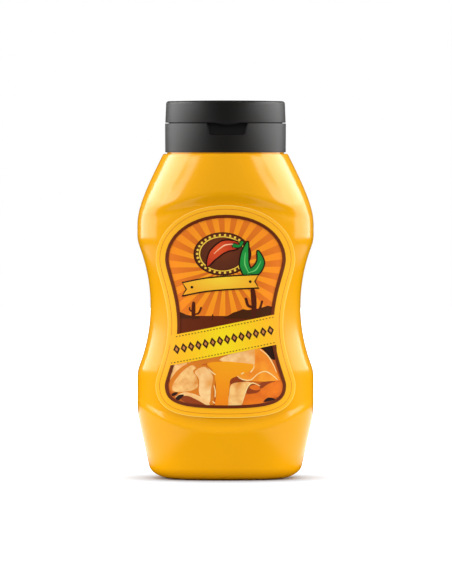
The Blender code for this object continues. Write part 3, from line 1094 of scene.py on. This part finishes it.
# Spine, widths, colour, shine and lowest ply of each chilli
CHILLIES = {
    "red": ([(3.6, 92.9), (-0.6, 92.4), (-4.6, 89.2), (-7.0, 84.9)], [3.2, 4.3, 3.6, 0.5],
            chilli_red, shine_ink, 8),
    "green_tall": ([(9.2, 81.0), (7.4, 85.0), (7.6, 89.6), (8.6, 94.0)], [3.4, 3.4, 2.6, 0.4],
                   chilli_green, green_shine, 8),
    "green_wide": ([(8.4, 81.6), (11.6, 82.8), (13.6, 86.2), (12.7, 90.4)],
                   [2.9, 3.3, 2.7, 0.4], chilli_green, green_shine, 8),
}
STALKS = {"red": [(3.4, 92.8), (5.4, 92.6), (6.4, 94.0)],
          "green_tall": [(9.1, 81.3), (9.4, 79.9), (8.6, 79.0)]}


def print_chilli(name, points, widths, colour, shine, ply):
    """One chilli: dark outline, body and shine."""
    wider = [width + 2 * OUTLINE_WIDTH for width in widths]
    print_ink("chilli_%s_outline" % name, sheet(stroke(points, wider)), chilli_edge, ply)
    print_ink("chilli_" + name, sheet(stroke(points, widths)), colour, ply + 1)
    lifted = [Vector(p) + Vector((0.25, 0.7)) * widths[0] * 0.2 for p in points[:3]]
    print_ink("chilli_%s_shine" % name, sheet(stroke(lifted, [0.2, 0.55, 0.2])), shine,
              ply + 2)


for name, (points, widths, colour, shine, ply) in CHILLIES.items():
    print_chilli(name, points, widths, colour, shine, ply)
for name, points in STALKS.items():
    print_ink("stalk_%s_outline" % name, sheet(stroke(points, [2.2, 1.5, 1.9])),
              chilli_edge, 9)
    print_ink("stalk_" + name, sheet(stroke(points, [1.5, 0.8, 1.2])), chilli_green, 11)
print("chillies", ", ".join(CHILLIES))

# %% Blank ribbon
RIBBON_SPINE = [(-16.4, 75.6), (-8.0, 77.3), (2.0, 78.2), (12.6, 78.7)]
RIBBON_HALF_HEIGHT = 2.35
RIBBON_NOTCH = 1.5
ribbon_edge = ink("ribbon_outline", paint(44, 22, 2))
ribbon_ink = vignette("ribbon_yellow", (-2.0, 79.5), 17.0, paint(253, 214, 50),
                      paint(246, 168, 20), across=(1.0, 2.6))


def ribbon_outline(grow):
    """Ribbon with a notched tail at each end, grown by a distance."""
    spine = smooth_loop(RIBBON_SPINE + RIBBON_SPINE[-2:0:-1], 8)[:8 * 3 + 1]
    half = RIBBON_HALF_HEIGHT + grow
    top = [p + Vector((0, half)) for p in spine]
    foot = [p - Vector((0, half)) for p in reversed(spine)]
    top[0].x -= grow
    foot[-1].x -= grow
    top[-1].x += grow
    foot[0].x += grow
    right_notch = [spine[-1] - Vector((RIBBON_NOTCH - grow, 0))]
    left_notch = [spine[0] + Vector((RIBBON_NOTCH - grow, 0))]
    return top + right_notch + foot + left_notch


print_ink("ribbon_outline", sheet(ribbon_outline(0.55)), ribbon_edge, 11)
print_ink("ribbon_face", sheet(ribbon_outline(0.0)), ribbon_ink, 12)
studs = [ellipse((x, z), 0.55, 0.55, steps=12) for x, z in ((-13.0, 76.4), (9.6, 78.6))]
print_ink("ribbon_studs", sheet(*studs), ribbon_edge, 13)
print("blank ribbon", round(RIBBON_SPINE[-1][0] - RIBBON_SPINE[0][0], 1), "mm long")

# %% [markdown]
# ## Banner
# The banner is lemon yellow in its middle and runs out into the film's own yellow at its
# ends, so it has no ends to see.  A row of short stitches follows each edge, and where
# lettering would stand there is a border of diamonds.

# %% Banner, stitches and diamonds
BANNER_REACH = (-21.4, 19.6)
STITCH_PITCH, STITCH_LENGTH, STITCH_WIDTH = 1.22, 0.58, 0.4
DIAMOND_PITCH, DIAMOND_HALF = 2.85, (1.32, 2.0)
stitch_ink = ink("stitch_olive", paint(120, 92, 4))
diamond_ink = ink("diamond_brown", paint(66, 34, 8))
diamond_heart = ink("diamond_tan", paint(206, 132, 70))
banner_ink = vignette("banner_lemon", (-0.5, 55.6), 21.0, paint(252, 226, 2), FILM_YELLOW,
                      across=(1.0, 0.6))


def along_line(start, end, pitch):
    """Evenly spread places from start to end, and the direction between them."""
    start, end = Vector(start), Vector(end)
    count = round((end - start).length / pitch)
    return [start.lerp(end, i / count) for i in range(count + 1)], (end - start).normalized()


def tilted_box(centre, along, half_length, half_width_of_box):
    """Rectangle whose long side lies along a direction."""
    across = Vector((-along.y, along.x)) * half_width_of_box
    reach = along * half_length
    return [centre - reach + across, centre + reach + across,
            centre + reach - across, centre - reach - across]


def diamond_row(start, end, scale):
    """Row of diamonds; scale makes them smaller."""
    places, along = along_line(start, end, DIAMOND_PITCH)
    across = Vector((-along.y, along.x))
    rows = []
    for place in places:
        tip_x, tip_z = along * DIAMOND_HALF[0] * scale, across * DIAMOND_HALF[1] * scale
        rows.append([place + tip_z, place + tip_x, place - tip_z, place - tip_x])
    return rows


def stitch_row(start, end):
    places, along = along_line(start, end, STITCH_PITCH)
    return [tilted_box(p, along, STITCH_LENGTH / 2, STITCH_WIDTH / 2) for p in places]


left, right = BANNER_REACH
banner_outline = [(left, line_height(BANNER_TOP, left)), (right, line_height(BANNER_TOP, right)),
                  (right, line_height(BANNER_FOOT, right)), (left, line_height(BANNER_FOOT, left))]
print_ink("banner", sheet(banner_outline), banner_ink, 13)
stitches = (stitch_row((-18.87, 56.85), (18.26, 64.5))
            + stitch_row((-20.87, 46.4), (18.69, 54.4)))
print_ink("banner_stitches", sheet(*stitches), stitch_ink, 14)
DIAMOND_ROW = ((-18.9, 51.85), (17.4, 59.3))
print_ink("banner_diamonds", sheet(*diamond_row(*DIAMOND_ROW, 1.0)), diamond_ink, 14)
print_ink("diamond_hearts", sheet(*diamond_row(*DIAMOND_ROW, 0.44)), diamond_heart, 15)
print("banner with", len(stitches), "stitches")

# %% [markdown]
# ## Picture of chips and sauce
# The lower window shows corn chips with thick sauce poured over them.  A printed picture
# is made here of fields of colour: each chip is one soft outline with a toasted finish,
# a darker field under it makes its rim, thin pale strokes are its curled edges, and the
# sauce is one smooth field with a few glints.

# %% Finishes of the picture
chip_pale = toasted("chip_pale", paint(252, 203, 126), paint(226, 138, 46))
chip_light = toasted("chip_light", paint(255, 214, 148), paint(238, 156, 60), 2.4)
chip_orange = toasted("chip_orange", paint(252, 162, 34), paint(238, 122, 8), 3.0)
chip_deep = toasted("chip_deep", paint(244, 126, 8), paint(212, 88, 4), 2.6)
chip_rim = ink("chip_rim", paint(224, 126, 26))
sauce_ink = vignette("poured_sauce", (3.0, 47.5), 18.0, paint(250, 166, 0), paint(243, 134, 0),
                     0.3, across=(0.5, 1.0))
glint_ink = ink("sauce_glint", paint(255, 222, 150), 0.3)
shade_brown = ink("picture_shade", paint(152, 62, 14))
shade_dark = ink("picture_dark", paint(44, 14, 2))
picture_back = ink("picture_back", paint(206, 98, 12))

# %% Fields of the picture, from the back to the front
FIELDS = (
    ("dark_corner", 2, shade_dark,
     [(13.2, 53.0), (19.2, 54.6), (19.6, 48.2), (17.6, 48.2), (16.0, 50.4)]),
    ("cream_corner", 2, chip_light,
     [(-21.4, 39.6), (-20.8, 46.4), (-12.6, 48.2), (-14.6, 45.2), (-18.4, 42.6)]),
    ("back_chip_rim", 2, chip_rim,
     [(-14.2, 47.6), (-6.0, 49.4), (4.0, 51.4), (3.4, 48.6), (-3.0, 47.2), (-8.6, 46.2),
      (-14.0, 44.8)]),
    ("left_chip_rim", 3, chip_rim,
     [(-12.2, 46.9), (-16.4, 45.4), (-20.2, 41.8), (-21.9, 37.4), (-19.4, 34.2),
      (-12.0, 34.6), (-7.6, 40.6), (-9.0, 45.6)]),
    ("left_chip", 4, chip_pale,
     [(-12.6, 45.6), (-15.6, 44.2), (-18.8, 40.8), (-20.7, 37.2), (-19.6, 35.2),
      (-13.6, 35.6), (-10.2, 38.0), (-10.6, 42.6)]),
    ("middle_chip_rim", 5, chip_rim,
     [(-12.6, 43.6), (-8.4, 45.7), (-5.6, 44.2), (-3.9, 41.2), (-4.7, 35.2), (-5.0, 29.8),
      (-9.6, 29.9), (-14.6, 33.0), (-11.0, 36.6), (-11.2, 41.0)]),
    ("middle_chip", 6, chip_light,
     [(-12.0, 43.1), (-8.6, 45.1), (-6.2, 43.4), (-4.9, 40.6), (-5.7, 36.0), (-6.4, 30.6),
      (-10.2, 34.2), (-10.3, 40.0)]),
    ("upper_chip", 3, chip_light,
     [(-2.4, 47.8), (3.6, 50.6), (12.4, 53.0), (12.0, 48.4), (10.4, 45.4), (4.0, 46.4)]),
    ("right_chip", 4, chip_orange,
     [(11.6, 52.6), (14.2, 52.0), (17.0, 48.8), (19.0, 45.4), (20.6, 41.6), (21.2, 38.6),
      (15.6, 39.2), (9.6, 39.6), (4.4, 41.4), (9.2, 43.6), (11.4, 46.4)]),
    ("lower_right_chip", 5, chip_deep,
     [(13.6, 36.4), (17.6, 38.6), (21.4, 39.6), (22.4, 36.8), (20.6, 33.2), (16.6, 32.8),
      (14.6, 30.8), (5.6, 29.9), (7.2, 33.6), (10.6, 34.6)]),
    ("right_shade", 6, shade_brown,
     [(12.9, 38.0), (15.0, 39.1), (19.6, 39.4), (16.6, 38.4), (14.2, 36.6)]),
    ("fold_shade", 6, shade_brown,
     [(1.8, 39.9), (4.4, 41.1), (6.0, 40.2), (8.0, 39.5), (4.6, 38.8), (2.2, 38.3)]),
    ("small_dark_chip", 6, shade_dark, [(14.9, 31.2), (16.6, 32.9), (19.4, 32.2)]),
    ("rolled_chip", 7, chip_pale,
     [(2.2, 38.0), (5.6, 39.0), (9.8, 38.9), (8.6, 36.6), (7.2, 33.6), (6.0, 29.7),
      (0.8, 29.7), (1.4, 34.0)]),
    ("roll_inside", 8, shade_brown,
     [(8.2, 36.2), (9.6, 38.0), (12.4, 38.3), (13.7, 36.6), (12.4, 34.9), (8.6, 34.6)]),
    ("roll_lining", 9, chip_deep,
     [(9.4, 36.8), (10.6, 37.9), (12.9, 37.8), (13.4, 36.2), (11.6, 35.8)]),
    ("sauce", 8, sauce_ink,
     [(-7.2, 46.3), (-2.0, 47.2), (4.0, 46.9), (10.8, 46.0), (11.0, 44.8), (8.6, 42.8),
      (4.4, 41.4), (2.0, 40.0), (1.5, 36.6), (1.1, 32.6), (0.6, 29.6), (-3.9, 29.6),
      (-3.6, 34.0), (-4.0, 39.8), (-5.0, 43.6)]),
    ("low_shade", 7, shade_brown,
     [(-17.2, 32.2), (-15.4, 33.8), (-11.4, 32.8), (-7.4, 30.6), (-7.2, 29.4), (-13.4, 30.2)]),
    ("low_fold", 8, chip_light,
     [(-19.6, 33.0), (-16.6, 34.9), (-13.4, 34.7), (-9.6, 33.2), (-6.2, 30.4), (-7.4, 30.0),
      (-11.0, 32.0), (-14.6, 33.6), (-17.6, 33.4)]),
    ("left_gap_upper", 7, shade_dark, [(-21.0, 34.0), (-20.0, 34.9), (-18.4, 34.8), (-20.2, 33.5)]),
    ("left_gap_lower", 9, shade_dark,
     [(-19.4, 32.6), (-18.2, 33.9), (-16.2, 34.1), (-17.0, 32.9), (-18.6, 31.7)]),
)


def lower_window():
    """Sheet of the window under the banner, its edge hidden by the frame."""
    bm = sheet(frame_outline(-WINDOW_INSET))
    cut_sheet(bm, (BANNER_FOOT[0][0], BANNER_FOOT[0][1] + 0.5), BANNER_FOOT[1], "below")
    return bm


print_ink("picture_back", lower_window(), picture_back, 1)
for name, ply, finish, points in FIELDS:
    print_ink(name, sheet(smooth_loop(points)), finish, ply)
print("picture of", len(FIELDS), "fields")

# %% Curled edges and glints
PALE_STROKES = (
    ("right_curl", 7, [(4.2, 41.9), (6.4, 40.2), (9.8, 39.9), (12.6, 42.2), (15.4, 43.2),
                       (18.0, 41.9), (20.2, 39.9)], [0.3, 0.8, 0.5, 0.8, 0.4]),
    ("right_rim", 7, [(13.4, 51.9), (16.4, 49.4), (18.6, 45.8), (19.8, 42.8)], [0.4, 0.7, 0.3]),
    ("roll_rim", 9, [(13.4, 37.6), (10.6, 38.7), (8.8, 37.4), (7.6, 34.4), (6.6, 31.0)],
     [0.4, 0.9, 0.7, 0.3]),
    ("glint_left", 9, [(-6.6, 44.3), (-5.6, 43.2), (-4.0, 42.0)], [0.3, 0.8, 0.6]),
    ("glint_right", 9, [(11.1, 45.6), (10.9, 44.4), (9.9, 43.1)], [0.5, 0.6, 0.9]),
    ("glint_dot", 9, [(6.3, 42.3), (7.0, 42.7)], [0.8, 0.8]),
    ("glint_pour", 9, [(-4.5, 37.8), (-4.0, 35.4), (-4.1, 33.2)], [0.4, 0.8, 0.6]),
    ("glint_foot", 9, [(-4.9, 31.4), (-4.3, 30.8)], [0.7, 0.7]),
)
for name, ply, points, widths in PALE_STROKES:
    print_ink(name, sheet(stroke(points, [0.6 * w for w in widths])), glint_ink, ply)
print("curled edges and glints", len(PALE_STROKES))

# %% [markdown]
# ## Back label
# The back carries the same film and frame.  Its print isn't known, so inside the frame
# it has only a plain pale panel with a border of the front's diamonds above and below.

# %% Back panel
panel_ink = ink("back_panel", paint(255, 222, 120))
print_ink("back_panel", sheet(frame_outline(-WINDOW_INSET)), panel_ink, 1, "back")
for name, z in (("upper", 86.0), ("lower", 44.0)):
    row = diamond_row((-14.0, z), (14.0, z), 0.8)
    print_ink("back_diamonds_" + name, sheet(*row), diamond_ink, 2, "back")
print("back panel ready")

# %% [markdown]
# ## Floor, light and camera
# The bottle stands on a pale sheet in a small studio.  An even room lights it from all
# round and a fill lamp on each side lifts its flanks.  Glossy plastic shows the shape of
# what lights it, so the highlights get cards of their own: a tall one close by on either
# side, hung above the table, which ends in a clear edge down the flank, and a small one
# on either side, further forward, for the ridge under the label.  The cards are kept out of the diffuse
# light and the fills out of the gloss, so that each can be set alone.  The camera sees
# the backdrop as white, and shiny surfaces see it dimmed.

# %% World
ROOM_LIGHT = 1.3
ROOM_IN_GLOSS = 0.03


def light_room():
    world = bpy.data.worlds.new("studio")
    bpy.context.scene.world = world
    board = Board(world)
    seen, glossy, through = board.rays()
    mirrored = (glossy + through).clamped()
    strength = seen + (1 - seen) * (mirrored * ROOM_IN_GLOSS + (1 - mirrored) * ROOM_LIGHT)
    light = board.node("ShaderNodeBackground", None,
                       {"Color": (1, 1, 1, 1), "Strength": strength})
    board.node("ShaderNodeOutputWorld", None, {"Surface": light})


light_room()
print("room light", ROOM_LIGHT)

# %% Floor
FLOOR_RADIUS = 2500.0
FLOOR_SEEN = (0.58, 0.645, 0.72, 1.0)
FLOOR_NEAR, FLOOR_FAR = (0.6, 0.6, 0.6, 1.0), (0.25, 0.25, 0.25, 1.0)
NEAR_START, NEAR_END = 60.0, 150.0
GLOW_START, GLOW_END = 30.0, 74.0
# Patches of floor beside the bottle that glow only in reflections: a painted reflection for the
# bottle's base.
GLOSS_PATCH_START, GLOSS_PATCH_END = 42.0, 60.0
GLOSS_PATCH_REACH = 360.0
GLOSS_PATCH_GLOW = 1.6


def make_floor():
    bm = bmesh.new()
    bmesh.ops.create_circle(bm, cap_ends=True, segments=64, radius=FLOOR_RADIUS * MM)
    mesh = bpy.data.meshes.new("floor")
    bm.to_mesh(mesh)
    bm.free()
    floor = bpy.data.objects.new("floor", mesh)
    bpy.context.scene.collection.objects.link(floor)
    material, board = new_board("pale_sheet")
    _, (x, y, _) = board.place()
    seen, glossy, through = board.rays()
    distance = (x * x + y * y) ** 0.5
    off_near = ((distance - NEAR_START) / (NEAR_END - NEAR_START)).clamped()
    for_light = board.blend(off_near, FLOOR_NEAR, FLOOR_FAR)
    # Shiny surfaces see the floor black: a painted dark reflection.
    in_gloss = board.blend(glossy, for_light, (0, 0, 0, 1))
    shown = board.blend((seen + through).clamped(), in_gloss, FLOOR_SEEN)
    matt = board.node("ShaderNodeBsdfDiffuse", None, {"Color": shown})
    away = ((distance - GLOW_START) / (GLOW_END - GLOW_START)).clamped()
    # lit marks the two patches that glow only in reflections. This is a painted reflection, not light
    # falling on the floor, and it gives the soft highlights low on the bottle's base.
    lit = ((abs(x) - GLOSS_PATCH_START) / (GLOSS_PATCH_END - GLOSS_PATCH_START)).clamped()
    lit = lit * (1 - ((distance - GLOSS_PATCH_REACH) / GLOSS_PATCH_START).clamped())
    strength = (seen + through).clamped() * away + glossy * lit * GLOSS_PATCH_GLOW
    glow = board.node("ShaderNodeEmission", None,
                      {"Color": (1, 1, 1, 1), "Strength": strength})
    both = board.node("ShaderNodeAddShader", None, {0: matt, 1: glow})
    board.node("ShaderNodeOutputMaterial", None, {"Surface": both})
    mesh.materials.append(material)


make_floor()
print("floor made")

# %% Lamps


def hang_lamp(name, job, azimuth, distance, height, size, radiance, tilt):
    """Area lamp that faces the bottle; its job is to light it or to show in its gloss."""
    lamp = bpy.data.lights.new(name, "AREA")
    lamp.shape = "RECTANGLE"
    lamp.size, lamp.size_y = size[0] * MM, size[1] * MM
    lamp.energy = radiance * math.pi * lamp.size * lamp.size_y
    lamp.color = (1, 1, 1)
    turn = math.radians(azimuth)
    piece = bpy.data.objects.new(name, lamp)
    piece.location = Vector((math.sin(turn) * distance, -math.cos(turn) * distance,
                             height)) * MM
    piece.rotation_euler = (math.pi / 2 - math.radians(tilt), 0, turn)
    piece.visible_camera = False
    piece.visible_diffuse = job == "diffuse"
    piece.visible_glossy = job == "gloss"
    bpy.context.scene.collection.objects.link(piece)


CARD_WIDTH = 266.0
CARD_LOW, CARD_MIDDLE, CARD_HIGH = 77.0, 185.0, 430.0
# Job, azimuth, distance, height, size, radiance and tilt of the lamps on each side
LAMPS = {
    "card_low": ("gloss", 101.0, 240.0, (CARD_LOW + CARD_MIDDLE) / 2,
                 (CARD_WIDTH, CARD_MIDDLE - CARD_LOW), 4.6, 0.0),
    "card_high": ("gloss", 101.0, 240.0, (CARD_MIDDLE + CARD_HIGH) / 2,
                  (CARD_WIDTH, CARD_HIGH - CARD_MIDDLE), 8.0, 0.0),
    "fill": ("diffuse", 90.0, 700.0, 150.0, (400.0, 400.0), 4.8, 6.0),
    "ridge_card": ("gloss", 62.0, 420.0, 240.0, (190.0, 150.0), 7.5, 27.0),
}
for side, name in ((-1, "left"), (1, "right")):
    for lamp_name, (job, azimuth, *sizes) in LAMPS.items():
        hang_lamp(name + "_" + lamp_name, job, side * azimuth, *sizes)
print("lamps hung")

# %% Camera
VIEW_DISTANCE = 2400.0
VIEW_HEIGHT = 232.1
VIEW_ELEVATION = math.radians(1.4)
VIEW_TARGET = Vector((0.2, 0.0, 73.9))


def set_camera():
    data = bpy.data.cameras.new("camera")
    data.sensor_width = 36.0
    data.lens = data.sensor_width * VIEW_DISTANCE / VIEW_HEIGHT
    data.clip_start, data.clip_end = 0.1, 20.0
    camera = bpy.data.objects.new("camera", data)
    back = Vector((0, -math.cos(VIEW_ELEVATION), math.sin(VIEW_ELEVATION)))
    camera.location = (VIEW_TARGET + back * VIEW_DISTANCE) * MM
    camera.rotation_euler = (math.pi / 2 - VIEW_ELEVATION, 0, 0)
    bpy.context.scene.collection.objects.link(camera)
    bpy.context.scene.camera = camera


set_camera()
bpy.context.scene.view_settings.view_transform = "Standard"
print("camera set")

# %% [markdown]
# ## Last update
# The scene is brought up to date at the end.

# %% Scene update
bpy.context.view_layer.update()
